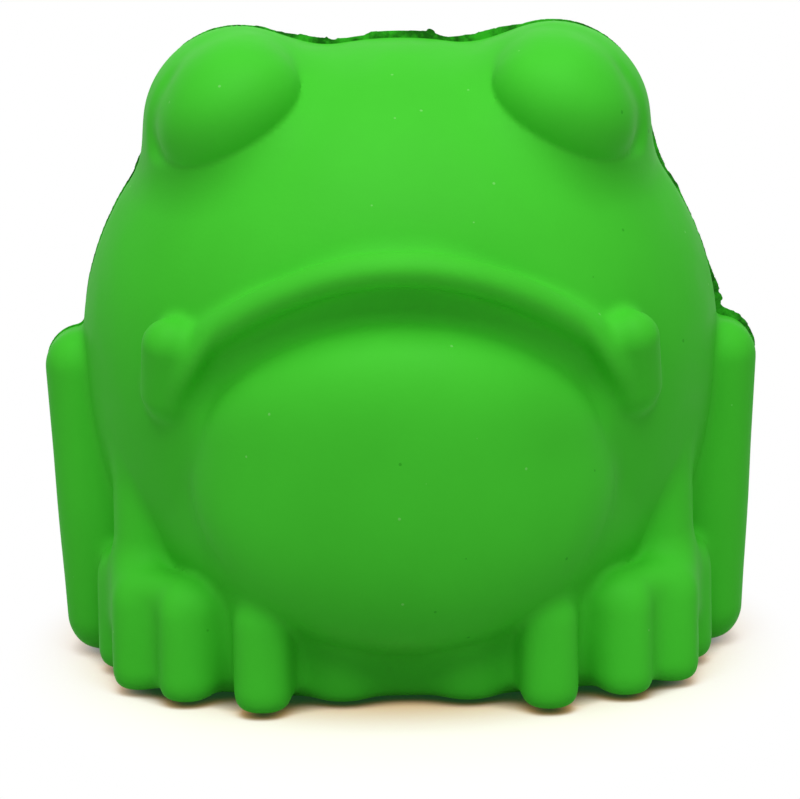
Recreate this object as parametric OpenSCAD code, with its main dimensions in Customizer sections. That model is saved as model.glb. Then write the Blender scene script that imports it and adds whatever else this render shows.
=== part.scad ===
// Squat frog chew toy: two rubber halves bonded on an upright seam, with a squeaker in the back.
// The frog faces -Y and sits on z = 0. The seam between the halves is the plane y = seam_y.

/* [Body] */
// Width of the round body across the flanks
body_w = 90; // [86:0.5:92]
// Height of the middle of the body and of its hollow
body_z = 45; // [44:0.5:46]
// Front-to-back place of the widest section
body_y = 2; // [1:0.5:2.5]
// Depth of the face in front of the widest section
face_depth = 40; // [39:0.5:42]
// Depth of the back behind the widest section
back_depth = 38; // [37:0.5:40]
// Rise of the head above the middle
head_rise = 42.3; // [41:0.1:43]
// Fullness of the belly: how far its curve would reach below the middle
belly_drop = 56; // [53:0.5:60]

/* [Eyes] */
// Sideways place of each brow
brow_x = 22; // [20:0.5:24]
// Front-to-back place of each brow
brow_y = -3; // [-4:0.5:-2]
// Height of the middle of each brow
brow_z = 75.9; // [75:0.1:77]
// Radius of each brow
brow_r = 13.3; // [12:0.1:14]
// Depth of the brow in front of its middle
brow_front = 18.3; // [17:0.1:19]
// Length of the brow's taper down the back
brow_tail = 30; // [26:1:34]
// Sideways place of each eyeball
eye_x = 23; // [21:0.5:24]
// Front-to-back place of each eyeball
eye_y = -16.5; // [-17:0.1:-15.5]
// Height of the middle of each eyeball
eye_z = 77.9; // [77:0.1:79]
// Half length of the oval eyeball
eye_long = 10.4; // [9:0.1:11]
// Half height of the oval eyeball
eye_short = 7.2; // [6.5:0.1:7.5]
// Half depth of the oval eyeball
eye_deep = 8.3; // [7.5:0.1:9]
// Tilt of the oval, inner end up
eye_tilt = 33; // [25:1:40]
// Turn of the oval towards the side
eye_turn = 20; // [10:1:30]

/* [Mouth] */
// Height of the lip at the middle of the face
lip_z = 59.9; // [59:0.1:61]
// Front-to-back place of the lip at the middle of the face
lip_y = -37.7; // [-38.2:0.1:-37]
// Radius of the rounded lip
lip_r = 2.9; // [2.5:0.1:3.3]
// Slope that the drooping lip runs out to
lip_slope = 0.73; // [0.68:0.01:0.76]
// Roundness of the arch at its middle
lip_arch = 13.5; // [12:0.5:15]
// Radius of the knob at each corner of the mouth
corner_r = 3.7; // [3.3:0.1:4]

/* [Throat pouch] */
// Half width of the pouch
pouch_half = 28; // [27:0.1:29]
// Front-to-back place of the pouch's middle
pouch_y = -26; // [-26.5:0.5:-25]
// Height of the pouch's middle
pouch_z = 36; // [35:0.5:36.5]
// Depth of the pouch in front of its middle
pouch_depth = 19; // [18:0.5:19.5]
// Rise of the pouch above its middle
pouch_rise = 20.5; // [19.5:0.5:21]
// Drop of the pouch below its middle
pouch_drop = 27.5; // [26.5:0.5:28]

/* [Front legs] */
// Radius of each foreleg
foreleg_r = 4.7; // [4.3:0.1:5.2]
// Half width of the block that carries the front toes
foot_half = 41; // [40:0.5:41.5]
// Depth of that block in front of the origin
foot_front = 31; // [30:0.5:31.5]
// Height of that block at its middle
foot_top = 13.9; // [13:0.1:14.5]

/* [Hind legs] */
// Distance from the middle to the outside of the shin, near the ground
shin_out = 47.9; // [47:0.1:48.4]
// How much the shin leans out for each millimetre of height
shin_lean = 0.072; // [0.06:0.002:0.086]
// Thickness of the shin, side to side
shin_w = 11; // [10:0.5:12]
// Front face of the shin
shin_front = -6; // [-6.5:0.5:-4]
// Back face of the shin
shin_back = 9; // [8:0.5:12]
// Height of the knee
knee_z = 45.5; // [44:0.5:47]

/* [Hollow and seam] */
// Front-to-back place of the seam
seam_y = 3; // [2.5:0.5:3.5]
// Radius of the hollow at the seam
hollow_r = 34; // [32:0.5:34.5]
// Depth of the hollow in the front half
hollow_front = 34; // [30:0.5:35]
// Depth of the hollow in the rear half
hollow_rear = 27.5; // [25:0.5:28]
// Inner radius of the groove for the bond
bond_r = 36.5; // [36:0.1:37]
// Width of the bond
bond_w = 2.2; // [1.8:0.1:2.6]
// How deep the bond reaches into each half
bond_d = 1; // [0.6:0.1:1.5]
// How far the rear half's flash stands out past the front half
flash_w = 0.6; // [0.3:0.1:0.9]
// Thickness of the flash
flash_t = 0.8; // [0.5:0.1:1]

/* [Squeaker] */
// Height of the squeaker's axis
squeak_z = 38; // [37:0.5:40]
// Outer face of the squeaker, front to back
squeak_y = 35; // [34.5:0.1:35.5]
// Radius of the opening in the rubber over the squeaker
mouth_r = 7; // [6:0.5:8]
// Radius of the cup's flange
flange_r = 13.5; // [13:0.1:14]
// Thickness of the cup's flange
flange_t = 2; // [1.6:0.1:2.4]
// Outer radius of the cup
cup_r = 11; // [10.5:0.1:11.5]
// Wall of the cup
cup_wall = 1.3; // [1.1:0.1:1.5]
// Length of the cup, flange included
cup_len = 10.5; // [10:0.1:11]
// Radius of the sound hole
sound_r = 1.8; // [1.2:0.1:2.2]
// Length of the reed from its root
reed_len = 11; // [10:0.1:11.5]
// Width of the reed
reed_w = 4.6; // [4:0.1:5]
// Thickness of the reed
reed_t = 0.4; // [0.3:0.05:0.5]
// Number of air holes in the cap
air_holes = 8; // [4:1:10]

/* [Hidden] */
$fn = 96;
rubber = [0.31, 0.77, 0.22];
cement = [0.78, 0.72, 0.55];
white_plastic = [0.93, 0.93, 0.9];
reed_film = [0.85, 0.83, 0.72];

// Fillets where neighbouring forms run into each other
brow_blend = 5;
corner_blend = 2;
toe_blend = 4;
leg_blend = 5;
limb_blend = 1.2;
haunch_blend = 6;
hind_foot_blend = 2;
// Fillet round the eye: a crease under it, a soft groove over it
eye_crease = 0.5;
eye_groove = 1.7;
// Fillet of the lip to the face: above it in the middle and at the sides, and below it
lip_soft = 6;
lip_crisp = 2.2;
lip_under = 3;
// Fillet of the pouch at its top and its bottom
pouch_blend_top = 1.5;
pouch_blend_low = 9;
// Rounding of the upper edge of the front feet, of their soles, and of the rest at the ground
foot_round = 4.2;
sole_round = 3;
ground_round = 2;

// The lip follows the face back by this much for each square millimetre of width
lip_sweep = 0.0115;
// The lip turns crisp and runs out between these places, the cove under it runs out too
lip_crisp_x = [6, 20];
lip_end = [30, 36];
cove_end = [24, 33];
run_out = 8;
// The fillets above and below the lip change over within this height
lip_edge = 2;
// Cove under the lip: how far below and in front of the lip its middle lies, and its size
cove_drop = 7.3;
cove_forward = 4.1;
cove_r = 4.2;
cove_blend = 2.2;
// Ends of the knob at the corner of the mouth
corner_top = [31, -28.3, 47.6];
corner_low = [31.3, -27.3, 43];
// How much the pouch widens downwards, and how full its side view is, 2 being round
pouch_pear = 0.0075;
pouch_full = 2.5;
// Heights between which the pouch's edge sharpens
pouch_soft_z = 14;
pouch_crisp_z = 30;

// Foreleg from shoulder to foot
shoulder = [35.7, -8, 34];
ankle = [35.7, -12, 10];
// Depth of the front block behind the origin, and how square its plan is, 2 being round
foot_rear = 24;
foot_square = 2.8;
// How much the block's top rises outwards and to the rear
foot_rise_out = 0.09;
foot_rise_back = 0.05;
// Upright toes from the inner one out, and a lobe at the side: place and half width
toes = [[8.6, -29.2, 4.1], [19.4, -33.2, 4.1], [29.9, -28, 3.8], [36.8, -21.2, 3.6], [38.9, -11.5, 3.5]];
// How square the toes are in plan
toe_square = 2.5;

// Rounding of the shin, and the height at which its place is given
shin_round = 5.4;
shin_ref_z = 8;
// Haunch and the hind foot beside it
haunch_at = [37, 15, 22];
haunch_half = [10.8, 21, 21];
heel = [40, 26, 3];
hind_toe = [41.5, 6, 3];
hind_foot_r = 5;

// The forms reach this far into the ground, and the columns stop at it
sink = 0.3;
big = 200;
tiny = 0.000001;

// Distance of a point from an egg-shaped form
function egg(q, c, half) =
    let (v = q - c)
    let (a = [v[0] / half[0], v[1] / half[1], v[2] / half[2]])
    let (b = [a[0] / half[0], a[1] / half[1], a[2] / half[2]])
    norm(a) * (norm(a) - 1) / max(norm(b), tiny);

// Distance from a rod with round ends
function rod(q, a, b, r) =
    let (d = b - a)
    let (t = max(0, min(1, (q - a) * d / (d * d))))
    norm(q - a - t * d) - r;

// Distance from a block with rounded edges
function block(q, c, half, r) =
    let (e = [for (k = [0:2]) abs(q[k] - c[k]) - half[k] + r])
    norm([for (v = e) max(v, 0)]) + min(max(e), 0) - r;

// Two forms run together with a fillet, or one is trimmed by another
function blend(a, b, k) = let (h = max(k - abs(a - b), 0) / k) min(a, b) - h * h * k / 4;
function trim(a, b, k) = -blend(-a, -b, k);
function ramp(v, lo, hi) = let (t = max(0, min(1, (v - lo) / (hi - lo)))) t * t * (3 - 2 * t);

// The frog's forms, each as a distance; q is a point with its x made positive
function body(q) =
    let (deep = q[1] < body_y ? face_depth : back_depth)
    let (high = q[2] > body_z ? head_rise : belly_drop)
    egg(q, [0, body_y, body_z], [body_w / 2, deep, high]);

function brow(q) =
    let (deep = q[1] < brow_y ? brow_front : brow_tail)
    norm([q[0] - brow_x, (q[1] - brow_y) * brow_r / deep, q[2] - brow_z]) - brow_r;

// The eyeball and the pouch, each as a distance and the fillet that joins it to the rest
function eyeball(q) =
    let (v = q - [eye_x, eye_y, eye_z])
    let (side = v[0] * cos(eye_turn) + v[1] * sin(eye_turn))
    let (deep = v[1] * cos(eye_turn) - v[0] * sin(eye_turn))
    let (along = v[2] * sin(eye_tilt) - side * cos(eye_tilt))
    let (across = side * sin(eye_tilt) + v[2] * cos(eye_tilt))
    let (fillet = eye_crease + (eye_groove - eye_crease) * ramp(across, -eye_short / 3, eye_short))
    [(norm([along / eye_long, deep / eye_deep, across / eye_short]) - 1) * eye_short, fillet];

function pouch(q) =
    let (high = q[2] > pouch_z ? pouch_rise : pouch_drop)
    let (slim = q[0] / (1 + pouch_pear * (pouch_z - q[2])))
    let (out = pow(abs(q[1] - pouch_y) / pouch_depth, pouch_full))
    let (up = pow(abs(q[2] - pouch_z) / high, pouch_full))
    let (form = norm([slim / pouch_half, pow(out + up, 1 / pouch_full)]))
    let (sharp = ramp(q[2], pouch_soft_z, pouch_crisp_z))
    [(form - 1) * pouch_depth, pouch_blend_low + (pouch_blend_top - pouch_blend_low) * sharp];

// A round rod that follows the lip's arch across the face, lowered and set forward from it
function lip_height(x) = lip_z + lip_arch - norm([lip_arch, lip_slope * x]);
function arched_rod(q, drop, forward, r, end) =
    let (steep = lip_slope * lip_slope * q[0] / norm([lip_arch, lip_slope * q[0]]))
    let (rise = (q[2] - lip_height(q[0]) + drop) / norm([1, steep]))
    let (out = q[1] - lip_y + forward - q[0] * q[0] * lip_sweep)
    norm([out, rise]) - r + run_out * ramp(q[0], end[0], end[1]);

function with_mouth(q, head) =
    let (lip = arched_rod(q, 0, 0, lip_r, lip_end))
    let (cove = arched_rod(q, cove_drop, cove_forward, cove_r, cove_end))
    let (soft = lip_soft + (lip_crisp - lip_soft) * ramp(q[0], lip_crisp_x[0], lip_crisp_x[1]))
    let (above = ramp(q[2] - lip_height(q[0]), -lip_edge, lip_edge))
    trim(blend(head, lip, lip_under + (soft - lip_under) * above), -cove, cove_blend);

function corner(q) = rod(q, corner_top, corner_low, corner_r);

// Front feet: a low block, toes all round its front, and the forelegs standing on it
function squarish(a, b, power) = pow(pow(abs(a), power) + pow(abs(b), power), 1 / power);
function toe(q, t) = squarish(q[0] - t[0], q[1] - t[1], toe_square) - t[2];
function join_toes(q, d, n) =
    n == len(toes) ? d : join_toes(q, blend(d, toe(q, toes[n]), toe_blend), n + 1);

function front_feet(q) =
    let (deep = q[1] < 0 ? foot_front : foot_rear)
    let (wall = (squarish(q[0] / foot_half, q[1] / deep, foot_square) - 1) * deep)
    let (top = foot_top + foot_rise_out * q[0] + foot_rise_back * q[1])
    let (feet = trim(join_toes(q, wall, 0), q[2] - top, foot_round))
    blend(trim(feet, -q[2] - sink, sole_round), rod(q, shoulder, ankle, foreleg_r), leg_blend);

function hind_leg(q) =
    let (x = shin_out + (q[2] - shin_ref_z) * shin_lean - shin_w / 2)
    let (half = [shin_w / 2, (shin_back - shin_front) / 2, knee_z / 2])
    let (shin = block(q, [x, (shin_front + shin_back) / 2, knee_z - half[2]], half, shin_round))
    let (thigh = blend(shin, egg(q, haunch_at, haunch_half), haunch_blend))
    blend(thigh, rod(q, hind_toe, heel, hind_foot_r), hind_foot_blend);

// The whole frog, both sides alike
function frog(p) =
    let (q = [abs(p[0]), p[1], p[2]])
    let (head = blend(with_mouth(q, body(q)), brow(q), brow_blend))
    let (eye = eyeball(q))
    let (face = blend(blend(head, eye[0], eye[1]), corner(q), corner_blend))
    let (bag = pouch(q))
    let (belly = blend(blend(face, hind_leg(q), limb_blend), bag[0], bag[1]))
    trim(blend(belly, front_feet(q), limb_blend), -q[2] - sink, ground_round);

// A half is drawn as its mould is cut: by its depth from the seam, over upright columns of points.
// Columns lie closer together towards the sides. One row follows the line of the lip, and the rows
// below and above it lie closer together towards the ground, the lip and the top.
columns = 35;
rows_below = 31;
rows_above = 20;
rows = rows_below + rows_above;
row_crowd = 0.45;
// The lip's row keeps at least this share of a column's height from either end
lip_share = 0.2;
// The outermost column stands this many columns short of the outline
end_columns = 2;
// A walk to the skin starts this far out, and takes this many steps of this share of the distance
far = 62;
steps = 22;
stride = 0.9;
// The skin's depth is found no closer to the outline than this
edge_gap = 0.3;

// Outline of the frog seen along the mould's opening, and a height that every column crosses
function outside(x, z) = min(frog([x, seam_y, z]), frog([x, brow_y, z]));
cross_drop = 7;
cross_z = knee_z - cross_drop;
function edge_z(x, in, out, n) =
    let (z = (in + out) / 2)
    n == 0 ? z : outside(x, z) > 0 ? edge_z(x, in, z, n - 1) : edge_z(x, z, out, n - 1);
function edge_x(in, out, n) =
    let (x = (in + out) / 2)
    n == 0 ? x : outside(x, cross_z) > 0 ? edge_x(in, x, n - 1) : edge_x(x, out, n - 1);

// Depth of the skin at one place: a step-by-step walk towards the seam until the frog is met
function skin_y(x, y, z, side, n) =
    n == 0 ? y : skin_y(x, y - side * stride * frog([x, y, z]), z, side, n - 1);
function held_y(y, side) = side < 0 ? min(y, seam_y - flash_t) : max(y, seam_y + flash_t);

// Points up one column, from the ground to the outline
function crowded(v) = v - row_crowd * sin(360 * v) / (2 * PI);
function column(x, side) =
    let (low = max(0, edge_z(x, cross_z, -far, steps)))
    let (high = edge_z(x, cross_z, body_z + far, steps))
    let (spare = (high - low) * lip_share)
    let (mid = max(low + spare, min(high - spare, lip_height(x))))
    [for (j = [0:rows])
        let (below = low + (mid - low) * crowded(min(j / rows_below, 1)))
        let (z = below + (high - mid) * crowded(max((j - rows_below) / rows_above, 0)))
        let (seen_z = max(low + edge_gap, min(high - edge_gap, z)))
        [x, held_y(skin_y(x, side * far, seen_z, side, steps), side), z]];

// Point on the rim of a half, pushed out from the middle by the width of the flash, down to the ground
function rim(p, out, y) =
    let (v = [p[0], p[2] - body_z])
    let (e = v * (1 + out / norm(v)))
    [e[0], y, max(0, e[1] + body_z)];

// One solid half: side -1 is the front, 1 is the rear
module half_frog(side) {
    wide = edge_x(body_w / 4, body_w, steps);
    right = [for (i = [0:columns]) column(wide * sin(90 * i / (columns + end_columns)), side)];
    across = 2 * columns;
    up = rows + 1;
    skin = [for (i = [-columns:columns], p = right[abs(i)]) i < 0 ? [-p[0], p[1], p[2]] : p];
    border = concat(
        [for (j = [0:rows - 1]) j],
        [for (i = [0:across - 1]) i * up + rows],
        [for (j = [rows:-1:1]) across * up + j],
        [for (i = [across:-1:1]) i * up]);
    rims = side < 0 ? [[0, 0]] : [[flash_w, flash_t], [flash_w, 0]];
    around = len(border);
    rim_points = [for (e = rims, k = border) rim(skin[k], e[0], seam_y + side * e[1])];
    rim_loops = [for (n = [0:len(rims) - 1]) [for (k = [0:around - 1]) len(skin) + n * around + k]];
    loops = concat([border], rim_loops);
    panels = [for (i = [0:across - 1], j = [0:rows - 1])
        let (a = i * up + j)
        let (b = a + 1)
        let (c = a + up + 1)
        let (d = a + up)
        let (upright = norm(skin[a] - skin[c]) < norm(skin[b] - skin[d]))
        each upright ? [[a, b, c], [a, c, d]] : [[a, b, d], [b, c, d]]];
    walls = [for (n = [0:len(rims) - 1], k = [0:around - 1])
        let (m = (k + 1) % around)
        each [[loops[n][k], loops[n + 1][k], loops[n][m]], [loops[n][m], loops[n + 1][k], loops[n + 1][m]]]];
    seam_face = [for (k = [around - 1:-1:0]) loops[len(rims)][k]];
    faces = concat(panels, walls, [seam_face]);
    turned = [for (f = faces) [for (k = [len(f) - 1:-1:0]) f[k]]];
    polyhedron(concat(skin, rim_points), side < 0 ? faces : turned);
}

// Round things on an axis that runs back along +Y from height z
module on_axis(z, y = 0) {
    translate([0, y, z])
    rotate([-90, 0, 0])
    children();
}

module ring_profile(inner, outer, from, to) {
    translate([inner, from])
    square([outer - inner, to - from]);
}

// Ball that gives a hollow of radius hollow_r at the seam and the given depth
hollow_facets = 48;
module hollow(depth, side) {
    r = (hollow_r * hollow_r + depth * depth) / (2 * depth);
    translate([0, seam_y + side * (depth - r), body_z])
    sphere(r, $fn = hollow_facets);
}

module seam_ring() {
    on_axis(body_z, seam_y)
    rotate_extrude()
    ring_profile(bond_r, bond_r + bond_w, -bond_d, bond_d);
}

// Front rubber half: face, forelegs, toes and the front of the hind legs
module front_shell() {
    color(rubber)
    difference() {
        half_frog(-1);
        hollow(hollow_front, -1);
        seam_ring();
    }
}

// Squeaker: thickness of the cup's face, the seat's disc and the cap, and where each lies
face_t = 1.6;
seat_t = 1.4;
cap_t = 1.4;
cup_in = squeak_y - cup_len;
seat_out = squeak_y - face_t;
seat_in = seat_out - seat_t;
bore_r = cup_r - cup_wall;

// Stepped socket: opening in the skin, groove for the flange, bore for the cup
module squeaker_socket() {
    on_axis(squeak_z)
    rotate_extrude()
    union() {
        ring_profile(0, cup_r, 0, squeak_y);
        ring_profile(0, flange_r, squeak_y - flange_t, squeak_y);
        ring_profile(0, mouth_r, squeak_y - flange_t, big / 2);
    }
}

// Rear rubber half: back, haunches, flash along the seam, and the squeaker's socket
module rear_shell() {
    color(rubber)
    difference() {
        half_frog(1);
        hollow(hollow_rear, 1);
        seam_ring();
        squeaker_socket();
    }
}

// Cured cement in the groove between the halves
module seam_bond() {
    color(cement)
    seam_ring();
}

// Cup with its flange outwards and the sound hole in its face
module squeaker_cup() {
    color(white_plastic)
    on_axis(squeak_z)
    rotate_extrude()
    union() {
        ring_profile(sound_r, cup_r, seat_out, squeak_y);
        ring_profile(bore_r, flange_r, squeak_y - flange_t, squeak_y);
        ring_profile(bore_r, cup_r, cup_in, squeak_y);
    }
}

// The reed's root is a bead that lies half in the seat and half under the cap's rib
bead_r = 0.5;
bead_fit = 0.05;
// How far the bead lies in from the seat's disc, and up from the squeaker's axis
bead_in = 2.8;
bead_up = 5.4;
bead_y = seat_in - bead_in;
bead_z = squeak_z + bead_up;
// Board: width, reach below and above the axis, gap to the reed, and how far it falls away
board_w = 6.4;
board_down = 6.5;
board_up = 7;
board_gap = 0.35;
board_fall = 1.2;
board_low = squeak_z - board_down;
board_high = squeak_z + board_up;
// The board begins this far under the bead
board_start = 1;
// Channel through the board: width, and reach below and above the axis
channel_w = 2.4;
channel_down = 4.5;
channel_up = 3;

module bead_bore(length) {
    translate([0, bead_y, bead_z])
    rotate([0, 90, 0])
    cylinder(r = bead_r + bead_fit, h = length, center = true);
}

// Seat: a disc with a sloping board that the reed beats on, and a channel to the sound hole
module squeaker_reed_seat() {
    board_y = bead_y + reed_t / 2 + board_gap;
    color(white_plastic)
    difference() {
        union() {
            on_axis(squeak_z, seat_in)
            cylinder(r = bore_r, h = seat_t);
            translate([-board_w / 2, 0, 0])
            rotate([90, 0, 90])
            linear_extrude(board_w)
            polygon([[seat_in, board_low], [board_y + board_fall, board_low], [board_y, bead_z - board_start],
                [bead_y, bead_z], [bead_y, board_high], [seat_in, board_high]]);
        }
        bead_bore(board_w * 2);
        translate([-channel_w / 2, 0, squeak_z - channel_down])
        cube([channel_w, squeak_y, channel_down + channel_up]);
    }
}

// Reed: a thin blade on its bead
module squeaker_reed() {
    color(reed_film)
    union() {
        translate([0, bead_y, bead_z])
        rotate([0, 90, 0])
        cylinder(r = bead_r, h = reed_w, center = true);
        translate([-reed_w / 2, bead_y - reed_t / 2, bead_z - reed_len])
        cube([reed_w, reed_t, reed_len]);
    }
}

// Air holes in the cap: radius, and radius of the ring they stand on
air_r = 1.1;
air_ring = 7.2;

// Cap: closes the cup's inner end, lets air through, and its rib keeps the bead in place
module squeaker_cap() {
    color(white_plastic)
    difference() {
        union() {
            on_axis(squeak_z, cup_in)
            cylinder(r = bore_r, h = cap_t);
            translate([-board_w / 2, cup_in, bead_z])
            cube([board_w, bead_y - cup_in, board_high - bead_z]);
        }
        bead_bore(board_w * 2);
        for (i = [0:air_holes - 1]) {
            on_axis(squeak_z, cup_in - cap_t)
            rotate([0, 0, 360 * (i + 0.5) / air_holes])
            translate([air_ring, 0, 0])
            cylinder(r = air_r, h = cap_t * 3);
        }
    }
}

front_shell();
rear_shell();
seam_bond();
squeaker_cup();
squeaker_reed_seat();
squeaker_reed();
squeaker_cap();
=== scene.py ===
import math

import bmesh
import bpy
import numpy as np
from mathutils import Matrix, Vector


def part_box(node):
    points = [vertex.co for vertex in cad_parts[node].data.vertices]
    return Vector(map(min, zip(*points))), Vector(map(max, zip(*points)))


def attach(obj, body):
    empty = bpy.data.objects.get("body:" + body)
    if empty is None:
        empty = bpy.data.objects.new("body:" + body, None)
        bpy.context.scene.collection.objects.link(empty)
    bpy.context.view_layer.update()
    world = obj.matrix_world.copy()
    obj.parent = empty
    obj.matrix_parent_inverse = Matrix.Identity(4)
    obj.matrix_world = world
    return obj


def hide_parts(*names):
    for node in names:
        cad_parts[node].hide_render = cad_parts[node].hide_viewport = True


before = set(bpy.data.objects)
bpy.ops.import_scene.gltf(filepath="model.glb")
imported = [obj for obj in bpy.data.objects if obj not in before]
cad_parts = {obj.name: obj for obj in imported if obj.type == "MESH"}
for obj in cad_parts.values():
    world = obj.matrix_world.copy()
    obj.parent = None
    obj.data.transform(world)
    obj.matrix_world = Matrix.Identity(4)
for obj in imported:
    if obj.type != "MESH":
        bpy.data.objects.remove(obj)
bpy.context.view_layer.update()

# Front half: the face, forelegs, front feet and the front of the hind legs, one moulding of natural
# rubber. The mould is drawn as eggs, rods and blocks run together with fillets, both sides alike.
# The half is hollow, and is cemented to the rear half along an upright seam. Mould sizes are in mm.
MM = 0.001


def egg(x, y, z, middle, half):
    a, b, c = [(v - m) / h for v, m, h in zip((x, y, z), middle, half)]
    near = np.sqrt(a * a + b * b + c * c)
    slope = np.sqrt((a / half[0]) ** 2 + (b / half[1]) ** 2 + (c / half[2]) ** 2)
    return near * (near - 1) / np.maximum(slope, 1e-6)


def rod(x, y, z, start, end, r):
    start, end = np.array(start, float), np.array(end, float)
    run = end - start
    share = ((x - start[0]) * run[0] + (y - start[1]) * run[1] + (z - start[2]) * run[2]) / (run @ run)
    share = np.clip(share, 0, 1)
    off = [v - s - share * d for v, s, d in zip((x, y, z), start, run)]
    return np.sqrt(off[0] ** 2 + off[1] ** 2 + off[2] ** 2) - r


def block(x, y, z, middle, half, r):
    e = [np.abs(v - m) - h + r for v, m, h in zip((x, y, z), middle, half)]
    outside = np.sqrt(sum(np.maximum(v, 0) ** 2 for v in e))
    return outside + np.minimum(np.maximum(np.maximum(e[0], e[1]), e[2]), 0) - r


def blend(a, b, fillet):
    share = np.maximum(fillet - np.abs(a - b), 0) / fillet
    return np.minimum(a, b) - share * share * fillet / 4


def trim(a, b, fillet):
    return -blend(-a, -b, fillet)


def ramp(v, low, high):
    t = np.clip((v - low) / (high - low), 0, 1)
    return t * t * (3 - 2 * t)


BODY_MIDDLE = (0, 2, 45)
BODY_HALF_WIDTH = 45
FACE_DEPTH, BACK_DEPTH = 40, 38
HEAD_RISE, BELLY_DROP = 42.3, 56


def torso(x, y, z):
    deep = np.where(y < BODY_MIDDLE[1], FACE_DEPTH, BACK_DEPTH)
    high = np.where(z > BODY_MIDDLE[2], HEAD_RISE, BELLY_DROP)
    return egg(x, y, z, BODY_MIDDLE, (BODY_HALF_WIDTH, deep, high))


BROW_MIDDLE = (22, -3, 76.25)
BROW_R = 13.3
BROW_FRONT, BROW_TAIL = 19.3, 30
BROW_BLEND = 5


def brow(x, y, z):
    deep = np.where(y < BROW_MIDDLE[1], BROW_FRONT, BROW_TAIL)
    along = (y - BROW_MIDDLE[1]) * BROW_R / deep
    return np.sqrt((x - BROW_MIDDLE[0]) ** 2 + along ** 2 + (z - BROW_MIDDLE[2]) ** 2) - BROW_R


EYE_MIDDLE = (22.5, -14.4, 78.9)
EYE_LONG, EYE_SHORT, EYE_DEEP = 10.6, 8.3, 10.3
EYE_TILT, EYE_TURN = math.radians(36), math.radians(20)
# The fillet round the eye: a crease under it, wide over its top; and a groove at its outer side
EYE_CREASE, EYE_SIDE, EYE_TOP = 0.15, 2.4, 5
GROOVE_GAP, GROOVE_DEPTH, GROOVE_SOFT = 1.3, 0.9, 1.6


def with_eye(x, y, z, head):
    dx, dy, dz = x - EYE_MIDDLE[0], y - EYE_MIDDLE[1], z - EYE_MIDDLE[2]
    side = dx * math.cos(EYE_TURN) + dy * math.sin(EYE_TURN)
    deep = dy * math.cos(EYE_TURN) - dx * math.sin(EYE_TURN)
    along = dz * math.sin(EYE_TILT) - side * math.cos(EYE_TILT)
    across = side * math.sin(EYE_TILT) + dz * math.cos(EYE_TILT)
    near = np.sqrt((along / EYE_LONG) ** 2 + (deep / EYE_DEEP) ** 2 + (across / EYE_SHORT) ** 2)
    ball = (near - 1) * EYE_SHORT
    upper, inner = ramp(across, -EYE_SHORT / 3, EYE_SHORT), ramp(along, -EYE_LONG / 2, EYE_LONG / 2)
    gap = (1 + GROOVE_GAP) * ramp(across, -EYE_SHORT / 3, EYE_SHORT / 3) * (1 - inner) - 1
    fillet = EYE_CREASE + (EYE_SIDE + (EYE_TOP - EYE_SIDE) * inner - EYE_CREASE) * upper
    groove = blend(gap - ball, head + GROOVE_DEPTH, GROOVE_SOFT)
    return blend(trim(head, groove, GROOVE_SOFT), ball, fillet)


# The lip bows over the mouth: its middle, thickness, fall to the corners, and sweep round the face
LIP_Y, LIP_Z, LIP_R = -38.9, 60.8, 2.6
LIP_FALL, LIP_SWEEP = 0.016, 0.0115
# It runs out between these places, and its fillet to the face is softer in the middle
LIP_END, RUN_OUT = (30, 36), 8
LIP_SOFT, LIP_CRISP, LIP_CRISP_X, LIP_UNDER, LIP_EDGE = 4.6, 2.1, (3, 17), 3, 2
# A shallow cove under the lip
COVE_DROP, COVE_FORWARD, COVE_R, COVE_END, COVE_BLEND = 8.4, 3.9, 6, (24, 33), 3.8


def lip_height(x):
    return LIP_Z - LIP_FALL * x * x


def bowed_rod(x, y, z, drop, forward, r, end):
    """A round rod that follows the lip's bow across the face, lowered and set forward from it."""
    rise = (z - lip_height(x) + drop) / np.sqrt(1 + (2 * LIP_FALL * x) ** 2)
    return np.sqrt((y - LIP_Y + forward - x * x * LIP_SWEEP) ** 2 + rise ** 2) - r + RUN_OUT * ramp(x, *end)


def with_mouth(x, y, z, head):
    lip = bowed_rod(x, y, z, 0, 0, LIP_R, LIP_END)
    soft = LIP_SOFT + (LIP_CRISP - LIP_SOFT) * ramp(x, *LIP_CRISP_X)
    above = ramp(z - lip_height(x), -LIP_EDGE, LIP_EDGE)
    face = blend(head, lip, LIP_UNDER + (soft - LIP_UNDER) * above)
    return trim(face, -bowed_rod(x, y, z, COVE_DROP, COVE_FORWARD, COVE_R, COVE_END), COVE_BLEND)


CORNER_TOP, CORNER_LOW = (31, -28.3, 49.6), (31.5, -25.6, 43)
CORNER_R, CORNER_BLEND = 3.7, 2


def mouth_corner(x, y, z):
    return rod(x, y, z, CORNER_TOP, CORNER_LOW, CORNER_R)


# The throat pouch is pear-shaped, wider below, with a crisp upper edge that softens downwards
POUCH_MIDDLE = (0, -26, 36)
POUCH_HALF, POUCH_DEPTH, POUCH_RISE, POUCH_DROP = 28, 19, 18.8, 27.5
POUCH_PEAR, POUCH_FULL = 0.0075, 3.1
POUCH_BLEND_TOP, POUCH_BLEND_LOW = 1.5, 9
POUCH_SOFT_Z, POUCH_CRISP_Z = 14, 30


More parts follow.
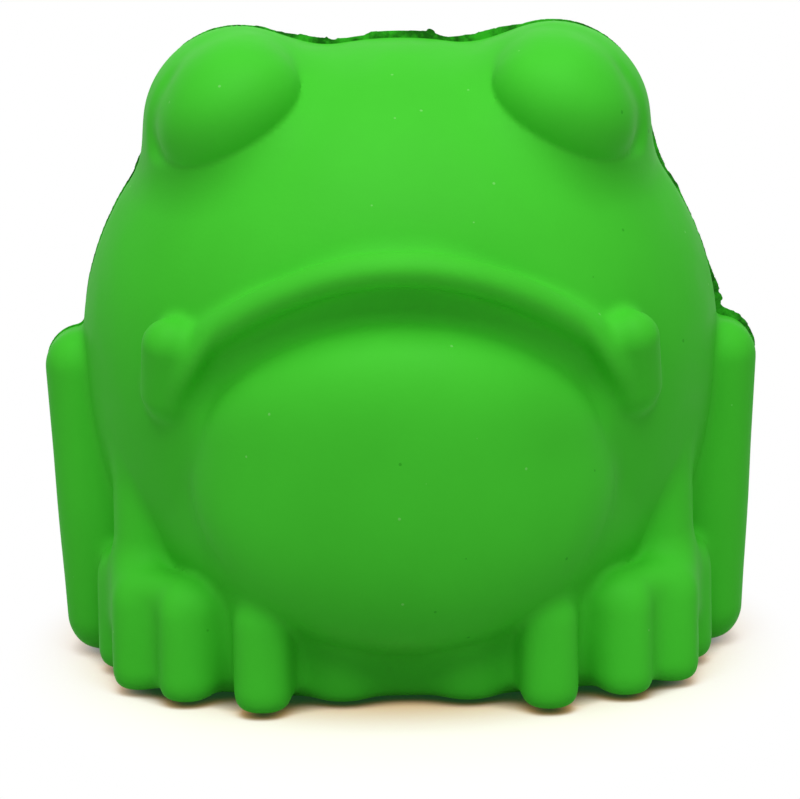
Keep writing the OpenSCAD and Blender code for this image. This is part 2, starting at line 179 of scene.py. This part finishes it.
def pouch(x, y, z):
    high = np.where(z > POUCH_MIDDLE[2], POUCH_RISE, POUCH_DROP)
    slim = x / (1 + POUCH_PEAR * (POUCH_MIDDLE[2] - z))
    out, up = np.abs((y - POUCH_MIDDLE[1]) / POUCH_DEPTH), np.abs((z - POUCH_MIDDLE[2]) / high)
    form = np.sqrt((slim / POUCH_HALF) ** 2 + (out ** POUCH_FULL + up ** POUCH_FULL) ** (2 / POUCH_FULL))
    fillet = POUCH_BLEND_LOW + (POUCH_BLEND_TOP - POUCH_BLEND_LOW) * ramp(z, POUCH_SOFT_Z, POUCH_CRISP_Z)
    return (form - 1) * POUCH_DEPTH, fillet


SHOULDER, ANKLE, FORELEG_R = (35.7, -11, 34), (35.7, -15.5, 10), 4.7
# The two front feet are one low block with a squarish plan, its top rising outwards and to the rear
FOOT_HALF, FOOT_FRONT, FOOT_REAR, FOOT_SQUARE = 41, 31, 24, 2.8
FOOT_TOP, FOOT_RISE_OUT, FOOT_RISE_BACK = 13.9, 0.09, 0.05
FOOT_ROUND, SOLE_ROUND, LEG_BLEND = 4.2, 3.8, 3
# Its toes lean back, between a lobe inside and one at the side: place, half width and height
TOES = ((8.6, -29.4, 4.1, 13), (19.3, -34.8, 3.9, 16.2), (29.9, -28.9, 3.8, 16.3), (36.8, -22.7, 3.6, 16.3),
        (39.4, -11.5, 3.5, 16.6))
TOE_LEAN, TOE_SQUARE, TOE_ROUND, TOE_BLEND = 0.17, 2.3, 4.6, 4.4


def front_feet(x, y, z):
    deep = np.where(y < 0, FOOT_FRONT, FOOT_REAR)
    wall = ((x / FOOT_HALF) ** FOOT_SQUARE + (np.abs(y) / deep) ** FOOT_SQUARE) ** (1 / FOOT_SQUARE)
    top = FOOT_TOP + FOOT_RISE_OUT * x + FOOT_RISE_BACK * y
    feet = trim((wall - 1) * deep, z - top, FOOT_ROUND)
    for toe_x, toe_y, r, toe_top in TOES:
        off_x, off_y = np.abs(x - toe_x), np.abs(y - toe_y - TOE_LEAN * z)
        toe = (off_x ** TOE_SQUARE + off_y ** TOE_SQUARE) ** (1 / TOE_SQUARE) - r
        feet = blend(feet, trim(toe, z - toe_top, TOE_ROUND), TOE_BLEND)
    feet = trim(feet, -z, SOLE_ROUND)
    return blend(feet, rod(x, y, z, SHOULDER, ANKLE, FORELEG_R), LEG_BLEND)


# Hind leg: an upright shin beside the body, a thigh behind it and a foot under it
SHIN_OUT, SHIN_LEAN, SHIN_REF_Z = 48.6, 0.053, 8
SHIN_W, SHIN_FRONT, SHIN_BACK, SHIN_ROUND = 11, -6, 9, 5.4
KNEE_Z = 47
HAUNCH_MIDDLE, HAUNCH_HALF, HAUNCH_BLEND = (37, 15, 22), (10.8, 21, 21), 6
HIND_TOE, HEEL, HIND_FOOT_R, HIND_FOOT_BLEND = (41.5, 6, 3), (40, 26, 3), 5, 2


def hind_leg(x, y, z):
    shin_x = SHIN_OUT + (z - SHIN_REF_Z) * SHIN_LEAN - SHIN_W / 2
    half = (SHIN_W / 2, (SHIN_BACK - SHIN_FRONT) / 2, KNEE_Z / 2)
    shin = block(x, y, z, (shin_x, (SHIN_FRONT + SHIN_BACK) / 2, KNEE_Z - half[2]), half, SHIN_ROUND)
    thigh = blend(shin, egg(x, y, z, HAUNCH_MIDDLE, HAUNCH_HALF), HAUNCH_BLEND)
    return blend(thigh, rod(x, y, z, HIND_TOE, HEEL, HIND_FOOT_R), HIND_FOOT_BLEND)


LIMB_BLEND = 1.2
GROUND_ROUND = 2


def frog(x, y, z):
    """Distance from the frog's skin, below zero inside it."""
    x = np.abs(x)
    head = blend(with_mouth(x, y, z, torso(x, y, z)), brow(x, y, z), BROW_BLEND)
    face = blend(with_eye(x, y, z, head), mouth_corner(x, y, z), CORNER_BLEND)
    belly = blend(blend(face, hind_leg(x, y, z), LIMB_BLEND), *pouch(x, y, z))
    return trim(blend(belly, front_feet(x, y, z), LIMB_BLEND), -z, GROUND_ROUND)


def settle(points, form, rounds=2, reach=0.05, least_slope=0.2):
    """Moves points straight onto the skin of a form."""
    for _ in range(rounds):
        away = form(*points.T)
        slope = np.empty_like(points)
        for axis in range(3):
            step = np.zeros(3)
            step[axis] = reach
            slope[:, axis] = (form(*(points + step).T) - form(*(points - step).T)) / (2 * reach)
        length = np.maximum((slope ** 2).sum(1), least_slope)
        points = points - slope * (away / length)[:, None]
    return points


def cast(form, low, top, step, rounds=3):
    """Skin of a form as points and four-sided faces, from its distance on a grid of small cells."""
    axes = [np.arange(a, b + step, step) for a, b in zip(low, top)]
    far = form(*np.meshgrid(*axes, indexing="ij", sparse=True)).astype(np.float32)
    solid = far < 0
    count = np.array(solid.shape) - 1
    wide, deep, high = count
    corners = [solid[i:wide + i, j:deep + j, k:high + k]
               for i in (0, 1) for j in (0, 1) for k in (0, 1)]
    filled = sum(c.astype(np.uint8) for c in corners)
    crossed = (filled > 0) & (filled < len(corners))
    number = np.full(crossed.shape, -1, np.int64)
    number[crossed] = np.arange(crossed.sum())
    cells = np.argwhere(crossed)
    total, hits = np.zeros((len(cells), 3)), np.zeros(len(cells))
    quads = []
    for axis in range(3):
        b, c = (axis + 1) % 3, (axis + 2) % 3
        ahead, beside, above = np.eye(3, dtype=int)[[axis, b, c]]
        for u in (0, 1):
            for v in (0, 1):
                start = cells + u * beside + v * above
                first, last = far[tuple(start.T)], far[tuple((start + ahead).T)]
                hit = (first < 0) != (last < 0)
                share = first[hit] / (first[hit] - last[hit])
                total[hit] += start[hit] + share[:, None] * ahead
                hits[hit] += 1
        lower = [slice(None)] * 3
        upper = [slice(None)] * 3
        lower[axis], upper[axis] = slice(0, -1), slice(1, None)
        edges = np.argwhere(solid[tuple(lower)] != solid[tuple(upper)])
        inner = (edges[:, b] > 0) & (edges[:, c] > 0) & (edges[:, b] < count[b]) & (edges[:, c] < count[c])
        edges = edges[inner]
        ring = [edges - beside - above, edges - above, edges, edges - beside]
        quad = np.stack([number[tuple(r.T)] for r in ring], 1)
        inwards = ~solid[tuple(edges.T)]
        quad[inwards] = quad[inwards][:, ::-1]
        quads.append(quad)
    points = np.array(low) + step * total / hits[:, None]
    faces = np.concatenate(quads)
    # Even out the net, then bring it back onto the skin
    for _ in range(rounds):
        pairs = np.concatenate([faces[:, [i, (i + 1) % 4]] for i in range(4)])
        weight = np.bincount(pairs[:, 0], minlength=len(points))
        middle = [np.bincount(pairs[:, 0], points[pairs[:, 1], k], len(points)) / weight for k in range(3)]
        points = settle(0.5 * points + 0.5 * np.stack(middle, 1), form, 1)
    return settle(points, form), faces


def new_piece(name, points, faces):
    mesh = bpy.data.meshes.new(name)
    mesh.from_pydata((np.asarray(points) * MM).tolist(), [], [list(f) for f in faces])
    mesh.update()
    piece = bpy.data.objects.new(name, mesh)
    bpy.context.scene.collection.objects.link(piece)
    return piece


def carve(piece, tool, how):
    """Cuts a piece with a tool, or joins the tool to it."""
    cut = piece.modifiers.new("cut", "BOOLEAN")
    cut.operation, cut.solver, cut.object = how, "MANIFOLD", tool
    made = bpy.data.meshes.new_from_object(piece.evaluated_get(bpy.context.evaluated_depsgraph_get()))
    piece.modifiers.clear()
    piece.data = made
    bpy.data.objects.remove(tool)


def face_outwards(piece, touching=1e-7):
    """Joins the points that meet, and turns every face outwards."""
    form = bmesh.new()
    form.from_mesh(piece.data)
    bmesh.ops.remove_doubles(form, verts=form.verts, dist=touching)
    bmesh.ops.dissolve_degenerate(form, edges=form.edges, dist=touching)
    bmesh.ops.recalc_face_normals(form, faces=form.faces)
    form.to_mesh(piece.data)
    form.free()


def turned(name, outline, z, sides=160):
    """A body turned about an axis along Y at height z, from (radius, y) points."""
    angles = np.linspace(0, 2 * math.pi, sides, endpoint=False)
    points, faces = [], []
    for r, y in outline:
        points += [(r * math.sin(a), y, z + r * math.cos(a)) for a in angles]
    n = len(outline)
    for i in range(n):
        for k in range(sides):
            m = (k + 1) % sides
            faces.append((i * sides + k, i * sides + m, (i + 1) % n * sides + m, (i + 1) % n * sides + k))
    piece = new_piece(name, points, faces)
    face_outwards(piece)
    return piece


seam_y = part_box("front_shell")[1].y / MM
SEAM_SPARE = 1.5


def half_frog(side):
    """The frog's form on one side of the seam, with a little to spare for the cut."""
    return lambda x, y, z: np.maximum(frog(x, y, z), -side * (y - seam_y) - SEAM_SPARE)


CUTTER = 400


def half_space(side):
    """A large block on one side of the seam."""
    form = bmesh.new()
    bmesh.ops.create_cube(form, size=CUTTER * MM)
    bmesh.ops.translate(form, verts=form.verts, vec=(0, (seam_y + side * CUTTER / 2) * MM, 0))
    mesh = bpy.data.meshes.new("half_space")
    form.to_mesh(mesh)
    form.free()
    piece = bpy.data.objects.new("half_space", mesh)
    bpy.context.scene.collection.objects.link(piece)
    return piece


HOLLOW_R, HOLLOW_STEPS = 34, 61


def hollow(depth, side):
    """The ball-shaped hollow in one half."""
    r = (HOLLOW_R ** 2 + depth ** 2) / (2 * depth)
    middle = seam_y + side * (depth - r)
    turn = np.linspace(0, math.pi, HOLLOW_STEPS)
    return turned("hollow", [(r * math.sin(t), middle - r * math.cos(t)) for t in turn], BODY_MIDDLE[2])


bond_low, bond_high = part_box("seam_bond")
BOND_W = 2.2


def seam_groove():
    outer = bond_high.x / MM
    inner = outer - BOND_W
    front, back = bond_low.y / MM, bond_high.y / MM
    return turned("groove", [(inner, front), (outer, front), (outer, back), (inner, back)], BODY_MIDDLE[2])


def smooth(piece, sharp=math.radians(38)):
    piece.data.shade_smooth()
    piece.data.set_sharp_from_angle(angle=sharp)


def new_finish(name):
    """A new material: itself, its shader, a way to add nodes, and a way to link one to the shader."""
    finish = bpy.data.materials.new(name)
    finish.use_nodes = True
    tree = finish.node_tree
    shader = tree.nodes["Principled BSDF"]

    def add(kind, inputs=None, **settings):
        node = tree.nodes.new("ShaderNode" + kind)
        for key, value in settings.items():
            setattr(node, key, value)
        for key, value in (inputs or {}).items():
            if isinstance(value, bpy.types.NodeSocket):
                tree.links.new(value, node.inputs[key])
            else:
                node.inputs[key].default_value = value
        return node

    def feed(**sockets):
        for key, value in sockets.items():
            tree.links.new(value, shader.inputs[key.replace("_", " ")])

    return finish, shader, add, feed


def tones(add, share, low, high, dark, pale):
    """Colours from dark to pale as a share goes from low to high."""
    node = add("ValToRGB", {"Fac": share})
    first, last = node.color_ramp.elements
    first.position, last.position = low, high
    first.color, last.color = (*dark, 1), (*pale, 1)
    return node.outputs["Color"]


RUBBER_DEEP, RUBBER_PALE = (0.057, 0.56, 0.028), (0.065, 0.63, 0.033)
# Pale and dark dust in the rubber: how closely it could lie, the share left out, and its colour
DUST = ((300, 0.8, (0.16, 0.66, 0.11, 1)), (230, 0.85, (0.035, 0.45, 0.018, 1)))
DUST_R = 0.06


def green_rubber():
    finish, shader, add, feed = new_finish("green_rubber")
    place = add("TexCoord").outputs["Object"]
    cloud = add("TexNoise", {"Vector": place, "Scale": 38, "Detail": 4, "Roughness": 0.55}).outputs["Fac"]
    colour = tones(add, cloud, 0.3, 0.72, RUBBER_DEEP, RUBBER_PALE)
    for density, share, speck in DUST:
        dots = add("TexVoronoi", {"Vector": place, "Scale": density}).outputs
        here = add("Math", {0: dots["Distance"], 1: DUST_R}, operation="LESS_THAN").outputs[0]
        chance = add("SeparateColor", {"Color": dots["Color"]}).outputs[0]
        some = add("Math", {0: chance, 1: share}, operation="GREATER_THAN").outputs[0]
        dusty = add("Math", {0: here, 1: some}, operation="MULTIPLY").outputs[0]
        colour = add("MixRGB", {"Fac": dusty, "Color1": colour, "Color2": speck}).outputs["Color"]
    grain = add("TexNoise", {"Vector": place, "Scale": 1400, "Detail": 2, "Roughness": 0.6}).outputs["Fac"]
    waves = add("TexNoise", {"Vector": place, "Scale": 150, "Detail": 2, "Roughness": 0.5}).outputs["Fac"]
    rough = add("MapRange", {"Value": waves, "From Min": 0.3, "From Max": 0.7,
                             "To Min": 0.5, "To Max": 0.6})
    swell = add("Bump", {"Height": waves, "Strength": 0.25, "Distance": 0.00012})
    bump = add("Bump", {"Height": grain, "Strength": 0.35, "Distance": 0.00005,
                        "Normal": swell.outputs["Normal"]})
    shader.inputs["Specular IOR Level"].default_value = 0.06
    feed(Base_Color=colour, Roughness=rough.outputs["Result"], Normal=bump.outputs["Normal"])
    return finish


rubber = green_rubber()
# The mould's box, with a little room past the seam, and the size of the net's cells
MOULD_HALF, MOULD_FRONT, MOULD_BACK, MOULD_UNDER, MOULD_TOP, SEAM_ROOM = 54, -50, 44, -2, 92, 3
FRONT_CELL = 0.55
HOLLOW_FRONT = 34
front_low = (-MOULD_HALF, MOULD_FRONT, MOULD_UNDER)
front_top = (MOULD_HALF, seam_y + SEAM_ROOM, MOULD_TOP)
points, faces = cast(half_frog(-1), front_low, front_top, FRONT_CELL)
front = new_piece("front_half", points, faces)
carve(front, half_space(-1), "INTERSECT")
carve(front, hollow(HOLLOW_FRONT, -1), "DIFFERENCE")
carve(front, seam_groove(), "DIFFERENCE")
smooth(front)
front.data.materials.clear()
front.data.materials.append(rubber)
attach(front, "toy")
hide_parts("front_shell")

# Rear half: the back and haunches, from the other side of the mould, in the same rubber. Rubber that
# ran out between the mould's halves stands along its edge as a thin ragged fin, torn off unevenly,
# and a stepped socket in its back holds the squeaker by the flange.
REAR_CELL = 0.7
HOLLOW_REAR = 27.5
rear_low = (-MOULD_HALF, seam_y - SEAM_ROOM, MOULD_UNDER)
rear_top = (MOULD_HALF, MOULD_BACK, MOULD_TOP)
points, faces = cast(half_frog(1), rear_low, rear_top, REAR_CELL)
rear = new_piece("rear_half", points, faces)
carve(rear, half_space(1), "INTERSECT")

# Width of the fin round the edge: degrees from the top, clockwise as seen from the front
FIN_WIDTHS = (
    (-180, 0.12), (-95, 0.12), (-84, 0.2), (-55, 0.25), (-40, 0.12), (-21, 0.2), (-18, 0.75), (-12, 0.75),
    (-9, 0.55), (-6, 0.6), (-4.5, 1), (0, 0.95), (6.5, 1.05), (8.5, 0.6), (10, 0.55), (13, 0.85), (18, 0.8),
    (22, 0.3), (40, 0.15), (46, 0.25), (53, 0.55), (61, 0.4), (66, 0.15), (76, 0.2), (79, 0.35), (83, 0.85),
    (86.5, 1.35), (88, 0.6), (91, 0.4), (96, 0.12), (180, 0.12))
FIN_ROOT, FIN_LEAST, FIN_THICK, FIN_TIP_THICK = 1.5, 0.02, 0.9, 0.35
FIN_STEPS, FIN_SEED = 1440, 11
# Tears along it: how many, how far each runs and fades in degrees, and the share it takes or adds
TEARS, TEAR_RUN, TEAR_FADE, TEAR_SHARE = 90, (0.5, 2.2), 0.4, (-0.3, 0.35)
# It is trimmed off near the floor
TRIMMED_Z = (1, 6)
# Where its edge is looked for, out from the body's middle
NEAREST_SKIN, FURTHEST_SKIN, SKIN_STEP = 25, 75, 0.05


def reach_of_skin(angles, beyond):
    """How far from the body's middle, in the seam and towards each angle, a width beyond the skin lies."""
    reach = np.arange(NEAREST_SKIN, FURTHEST_SKIN, SKIN_STEP)
    across, up = reach[:, None] * np.sin(angles), BODY_MIDDLE[2] + reach[:, None] * np.cos(angles)
    within = frog(across, seam_y, up) < beyond
    return reach[-1 - np.argmax(within[::-1], axis=0)]


def fin():
    angles = np.linspace(-math.pi, math.pi, FIN_STEPS, endpoint=False)
    edge = reach_of_skin(angles, 0)
    degrees, widths = np.transpose(FIN_WIDTHS)
    width = np.interp(np.degrees(angles), degrees, widths)
    draw = np.random.default_rng(FIN_SEED)
    for _ in range(TEARS):
        at, run = draw.uniform(-math.pi, math.pi), math.radians(draw.uniform(*TEAR_RUN))
        torn = draw.uniform(*TEAR_SHARE)
        width = width * (1 + torn * ramp(run - np.abs(angles - at), 0, math.radians(TEAR_FADE)))
    width = FIN_LEAST + width * ramp(BODY_MIDDLE[2] + edge * np.cos(angles), *TRIMMED_Z)
    root, tip = edge - FIN_ROOT, reach_of_skin(angles, width)
    points, faces = [], []
    for r, back in ((root, 0), (tip, 0), (tip, FIN_TIP_THICK), (root, FIN_THICK)):
        up = BODY_MIDDLE[2] + r * np.cos(angles)
        points += zip(r * np.sin(angles), np.full(FIN_STEPS, seam_y + back), up)
    for i in range(4):
        for k in range(FIN_STEPS):
            m = (k + 1) % FIN_STEPS
            j = (i + 1) % 4
            faces.append((i * FIN_STEPS + k, i * FIN_STEPS + m, j * FIN_STEPS + m, j * FIN_STEPS + k))
    piece = new_piece("fin", points, faces)
    face_outwards(piece)
    return piece


carve(rear, fin(), "UNION")
carve(rear, hollow(HOLLOW_REAR, 1), "DIFFERENCE")
carve(rear, seam_groove(), "DIFFERENCE")

cup_low, cup_high = [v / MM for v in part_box("squeaker_cup")]
cup_z = (cup_low.z + cup_high.z) / 2
CUP_R, FLANGE_T = 11, 2
# The socket's mouth, the round of its edge, and how far the cut runs on past the back
SOCKET_MOUTH_R, SOCKET_LIP, SOCKET_LIP_STEPS, SOCKET_PAST = 7, 1.2, 7, 5
back_y = BODY_MIDDLE[1] + BACK_DEPTH


def socket():
    """The stepped hole for the squeaker, its mouth rounded over where it meets the skin."""
    flange_r, out = cup_high.x, cup_high.y
    turn = np.linspace(0, math.pi / 2, SOCKET_LIP_STEPS)
    lip_y = back_y - SOCKET_LIP
    mouth = [(SOCKET_MOUTH_R + SOCKET_LIP * (1 - math.cos(t)), lip_y + SOCKET_LIP * math.sin(t))
             for t in turn]
    step_y, end_y = out - FLANGE_T, back_y + SOCKET_PAST
    steps = [(0, seam_y), (CUP_R, seam_y), (CUP_R, step_y), (flange_r, step_y), (flange_r, out),
             (SOCKET_MOUTH_R, out)]
    opening = [(SOCKET_MOUTH_R + SOCKET_LIP, end_y), (0, end_y)]
    return turned("socket", steps + mouth + opening, cup_z)


carve(rear, socket(), "DIFFERENCE")
smooth(rear)
FIN_SHADE_DEEP, FIN_SHADE_PALE = (0.012, 0.14, 0.006), (0.05, 0.5, 0.024)


def torn_fin_painted_shade():
    finish, shader, add, feed = new_finish("torn_fin_painted_shade")
    place = add("TexCoord").outputs["Object"]
    cloud = add("TexNoise", {"Vector": place, "Scale": 450, "Detail": 5, "Roughness": 0.65}).outputs["Fac"]
    # Painted shade: the fin is coloured far darker than the rubber, standing in for the shadow in the seam
    colour = tones(add, cloud, 0.38, 0.6, FIN_SHADE_DEEP, FIN_SHADE_PALE)
    bump = add("Bump", {"Height": cloud, "Strength": 0.6, "Distance": 0.0002})
    rough = add("MapRange", {"Value": cloud, "To Min": 0.6, "To Max": 0.8})
    shader.inputs["Specular IOR Level"].default_value = 0.1
    feed(Base_Color=colour, Roughness=rough.outputs["Result"], Normal=bump.outputs["Normal"])
    return finish


rear.data.materials.clear()
rear.data.materials.append(rubber)
rear.data.materials.append(torn_fin_painted_shade())
# The fin gets the darker torn finish, painted shade for the shadow along the seam, wherever it stands this
# far out of the skin
PROUD = 0.06
middles = np.empty(3 * len(rear.data.polygons))
rear.data.polygons.foreach_get("center", middles)
middles = middles.reshape(-1, 3) / MM
proud = (frog(*middles.T) > PROUD) & (middles[:, 1] < seam_y + FIN_THICK)
rear.data.polygons.foreach_set("material_index", proud.astype(np.int32))
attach(rear, "toy")
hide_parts("rear_shell")

# Seam bond: the ring of rubber cement that holds the halves together, cured in a groove between them.
# It is amber and cloudy, with small trapped bubbles.
CEMENT_DEEP, CEMENT_PALE = (0.36, 0.24, 0.08), (0.55, 0.42, 0.2)


def amber_cement():
    finish, shader, add, feed = new_finish("amber_cement")
    place = add("TexCoord").outputs["Object"]
    cloud = add("TexNoise", {"Vector": place, "Scale": 220, "Detail": 5, "Roughness": 0.6}).outputs["Fac"]
    colour = tones(add, cloud, 0.3, 0.7, CEMENT_DEEP, CEMENT_PALE)
    bubbles = add("TexVoronoi", {"Vector": place, "Scale": 900}).outputs["Distance"]
    bump = add("Bump", {"Height": bubbles, "Strength": 0.4, "Distance": 0.0001})
    rough = add("MapRange", {"Value": cloud, "To Min": 0.25, "To Max": 0.5})
    feed(Base_Color=colour, Roughness=rough.outputs["Result"], Normal=bump.outputs["Normal"])
    return finish


def dress(node, finish):
    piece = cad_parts[node]
    piece.data.materials.clear()
    piece.data.materials.append(finish)


dress("seam_bond", amber_cement())

# Squeaker: a cup with a sound hole, the seat that its reed beats on, and a cap with air holes, all
# moulded in white plastic and pressed together. It is pushed into the socket in the rear half.
PLASTIC_DEEP, PLASTIC_PALE = (0.66, 0.64, 0.56), (0.76, 0.75, 0.69)


def white_plastic():
    finish, shader, add, feed = new_finish("white_plastic")
    place = add("TexCoord").outputs["Object"]
    cloud = add("TexNoise", {"Vector": place, "Scale": 120, "Detail": 4, "Roughness": 0.5}).outputs["Fac"]
    colour = tones(add, cloud, 0.3, 0.75, PLASTIC_DEEP, PLASTIC_PALE)
    centred = add("Mapping", {"Vector": place, "Location": (0, 0, -cup_z * MM)}).outputs["Vector"]
    lathe = add("TexWave", {"Vector": centred, "Scale": 700, "Distortion": 1.5, "Detail": 1},
                wave_type="RINGS", rings_direction="Y").outputs["Fac"]
    bump = add("Bump", {"Height": lathe, "Strength": 0.12, "Distance": 0.00004})
    rough = add("MapRange", {"Value": cloud, "To Min": 0.3, "To Max": 0.48})
    feed(Base_Color=colour, Roughness=rough.outputs["Result"], Normal=bump.outputs["Normal"])
    return finish


plastic = white_plastic()
for node in ("squeaker_cup", "squeaker_reed_seat", "squeaker_cap"):
    dress(node, plastic)

# Squeaker reed: a thin strip of slightly yellow film, cut along its grain. Its root lies between seat
# and cap, and it flutters against the seat when air is pressed out.
FILM_DEEP, FILM_PALE = (0.5, 0.46, 0.28), (0.62, 0.58, 0.4)


def reed_film():
    finish, shader, add, feed = new_finish("reed_film")
    place = add("TexCoord").outputs["Object"]
    drawn = add("Mapping", {"Vector": place, "Scale": (9, 9, 0.6)}).outputs["Vector"]
    streaks = add("TexNoise", {"Vector": drawn, "Scale": 260, "Detail": 3, "Roughness": 0.6}).outputs["Fac"]
    colour = tones(add, streaks, 0.3, 0.7, FILM_DEEP, FILM_PALE)
    bump = add("Bump", {"Height": streaks, "Strength": 0.15, "Distance": 0.00003})
    rough = add("MapRange", {"Value": streaks, "To Min": 0.2, "To Max": 0.36})
    feed(Base_Color=colour, Roughness=rough.outputs["Result"], Normal=bump.outputs["Normal"])
    return finish


dress("squeaker_reed", reed_film())

# Floor: a plain white studio sweep, with the frog's own soft shadow on it, made warm close to the frog by a
# painted warm glow, and with a painted dark shadow where the toes touch it. From a hand's width away it is
# plain white.
FLOOR_SIZE = 8
# The warm patch fades between near and far and is narrowed across, and a painted contact shadow darkens the
# paper close to the toes
NEAR_FLOOR, FAR_FLOOR, TOUCHING = 0.05, 0.075, 0.005
NARROWED = (1.3, 1, 1)
# Paper as it throws light on the frog, painted darker close by as shade for the frog's shadow and paler
# further off, and then as the camera sees it
PAPER_NEAR_PAINTED_SHADE, PAPER_OFF = (0.41, 0.41, 0.4), (0.62, 0.61, 0.6)
PAPER, WARM, PAINTED_CONTACT_SHADOW, WHITE = (0.56, 0.88, 1, 1), (0.56, 0.24, 0.09, 1), (0.008, 0.045, 0.012, 1), (1, 1, 1, 1)
bpy.ops.mesh.primitive_plane_add(size=FLOOR_SIZE, location=(0, 0, 0))
floor = bpy.context.object
floor.name = "floor"


def studio_floor():
    finish, shader, add, feed = new_finish("studio_floor")
    shader.inputs["Roughness"].default_value = 0.9
    place = add("VectorMath", {0: add("TexCoord").outputs["Object"], 1: NARROWED}, operation="MULTIPLY")
    reach = add("VectorMath", {0: place.outputs[0]}, operation="LENGTH").outputs["Value"]
    # Painted shade: close to the frog the paper throws less light back, standing in for the frog's shadow
    # on it
    feed(Base_Color=tones(add, reach, NEAR_FLOOR, 2 * NEAR_FLOOR, PAPER_NEAR_PAINTED_SHADE, PAPER_OFF))
    # What the camera sees: paper with a painted warm tint in its shadow, a painted dark shadow line under
    # the toes, and white further off
    paper = add("BsdfDiffuse", {"Color": PAPER})
    warmth = add("Emission", {"Color": WARM, "Strength": 1.0})
    lit = add("AddShader", {0: paper.outputs[0], 1: warmth.outputs[0]})
    # Painted shadow: where the toes come within touching reach, the paper is swapped for a dark glow
    open_air = add("AmbientOcclusion", {"Distance": TOUCHING}).outputs["AO"]
    clear = add("MapRange", {"Value": open_air, "From Min": 0.1, "From Max": 0.6}).outputs["Result"]
    dark = add("Emission", {"Color": PAINTED_CONTACT_SHADOW, "Strength": 1.0})
    shaded = add("MixShader", {0: clear, 1: dark.outputs[0], 2: lit.outputs[0]})
    white = add("Emission", {"Color": WHITE, "Strength": 1.0})
    far_off = add("MapRange", {"Value": reach, "From Min": NEAR_FLOOR, "From Max": FAR_FLOOR},
                  interpolation_type="SMOOTHSTEP").outputs["Result"]
    plain = add("MixShader", {0: far_off, 1: shaded.outputs[0], 2: white.outputs[0]})
    rays = add("LightPath").outputs
    shiny = {0: rays["Is Glossy Ray"], 1: rays["Is Transmission Ray"]}
    mirrored = add("Math", shiny, operation="MAXIMUM").outputs[0]
    seen = add("Math", {0: rays["Is Camera Ray"], 1: mirrored}, operation="MAXIMUM").outputs[0]
    mix = add("MixShader", {0: seen, 1: shader.outputs[0], 2: plain.outputs[0]})
    tree = finish.node_tree
    tree.links.new(mix.outputs[0], tree.nodes["Material Output"].inputs["Surface"])
    return finish


floor.data.materials.append(studio_floor())

# Light: one broad soft lamp overhead and a little in front, and studio walls all round. The walls give
# little light, and look white to the camera and in anything that shines.
LAMP_PLACE, LAMP_AIM = Vector((0, -0.255, 0.6)), Vector((0, 0, 0.04))
LAMP_SIZE, LAMP_POWER = 0.54, 3.4
WALL_LIGHT = 0.28
lamp = bpy.data.objects.new("overhead", bpy.data.lights.new("overhead", "AREA"))
lamp.data.shape = "SQUARE"
lamp.data.size = LAMP_SIZE
lamp.data.energy = LAMP_POWER
lamp.location = LAMP_PLACE
lamp.rotation_euler = (LAMP_AIM - LAMP_PLACE).to_track_quat("-Z", "Y").to_euler()
bpy.context.scene.collection.objects.link(lamp)


def studio_walls():
    world = bpy.data.worlds.new("studio")
    world.use_nodes = True
    tree = world.node_tree
    tree.nodes.clear()

    def either(first, second):
        node = tree.nodes.new("ShaderNodeMath")
        node.operation = "MAXIMUM"
        tree.links.new(first, node.inputs[0])
        tree.links.new(second, node.inputs[1])
        return node.outputs[0]

    def wall(strength):
        node = tree.nodes.new("ShaderNodeBackground")
        node.inputs["Color"].default_value = WHITE
        node.inputs["Strength"].default_value = strength
        return node.outputs[0]

    rays = tree.nodes.new("ShaderNodeLightPath").outputs
    seen = either(rays["Is Camera Ray"], either(rays["Is Glossy Ray"], rays["Is Transmission Ray"]))
    mix = tree.nodes.new("ShaderNodeMixShader")
    for socket, output in enumerate((seen, wall(WALL_LIGHT), wall(1))):
        tree.links.new(output, mix.inputs[socket])
    tree.links.new(mix.outputs[0], tree.nodes.new("ShaderNodeOutputWorld").inputs["Surface"])
    return world


bpy.context.scene.world = studio_walls()

# Camera: half a metre in front of the frog and a little above it, turned a touch as in the picture.
CAMERA_FAR, CAMERA_RISE, CAMERA_ROLL = 0.5, math.radians(10.5), math.radians(-0.95)
SENSOR, LENS = 36, 158.4
FROG_AIM, AIM_DROP = Vector((-0.0002, 0, 0.044)), 0.0078
camera = bpy.data.objects.new("camera", bpy.data.cameras.new("camera"))
bpy.context.scene.collection.objects.link(camera)
camera.data.sensor_width = SENSOR
camera.data.lens = LENS
away = Vector((0, -math.cos(CAMERA_RISE), math.sin(CAMERA_RISE)))
over = Vector((0, math.sin(CAMERA_RISE), math.cos(CAMERA_RISE)))
camera.location = FROG_AIM + away * CAMERA_FAR
gaze = (FROG_AIM - over * AIM_DROP) - camera.location
camera.rotation_euler = gaze.to_track_quat("-Z", "Y").to_matrix().to_4x4().to_euler()
camera.rotation_euler.rotate_axis("Z", CAMERA_ROLL)
bpy.context.scene.camera = camera
bpy.context.scene.view_settings.view_transform = "Standard"
